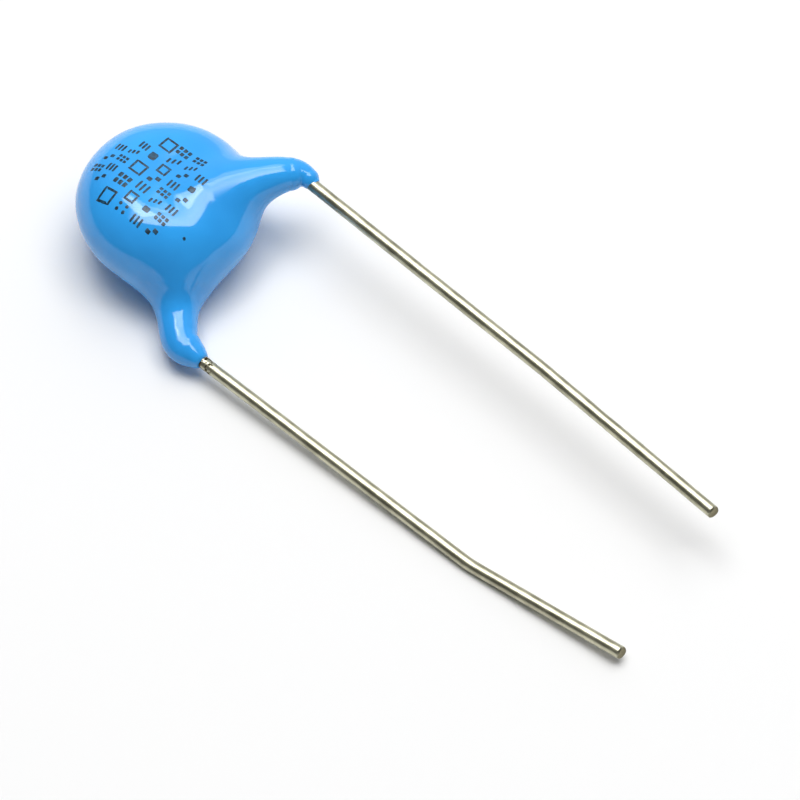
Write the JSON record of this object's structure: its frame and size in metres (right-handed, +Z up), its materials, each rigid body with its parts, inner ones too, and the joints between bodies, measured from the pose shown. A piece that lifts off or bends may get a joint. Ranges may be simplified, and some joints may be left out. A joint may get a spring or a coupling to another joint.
{
  "type": "ceramic disc capacitor",
  "caption": "Lead-mounted ceramic disc capacitor: a silvered ceramic disc with a wire lead soldered to each face, dipped in glossy blue epoxy that runs down both leads.",
  "frame": {"origin": "on the ground below the middle of the part's box, as it lies at rest", "axes": "+X along the leads from body to cut ends, +Z up through the thickness of the lying disc, +Y towards the lead on the upper face"},
  "size_m": [0.0346, 0.0108, 0.0055],
  "materials": {
    "epoxy_coat": "glossy dipped blue epoxy coat",
    "fired_ceramic": "bare fired dielectric ceramic",
    "silver_film": "burnt-on silver film, satin",
    "solder_joint": "tin solder, bright and smooth",
    "tinned_wire": "bright tinned copper wire"
  },
  "bodies": {
    "root": {"coating": "epoxy_coat", "ceramic_disc": "fired_ceramic", "front_electrode": "silver_film", "back_electrode": "silver_film", "front_solder": "solder_joint", "back_solder": "solder_joint", "front_lead": "tinned_wire", "back_lead": "tinned_wire"}
  },
  "joints": []
}
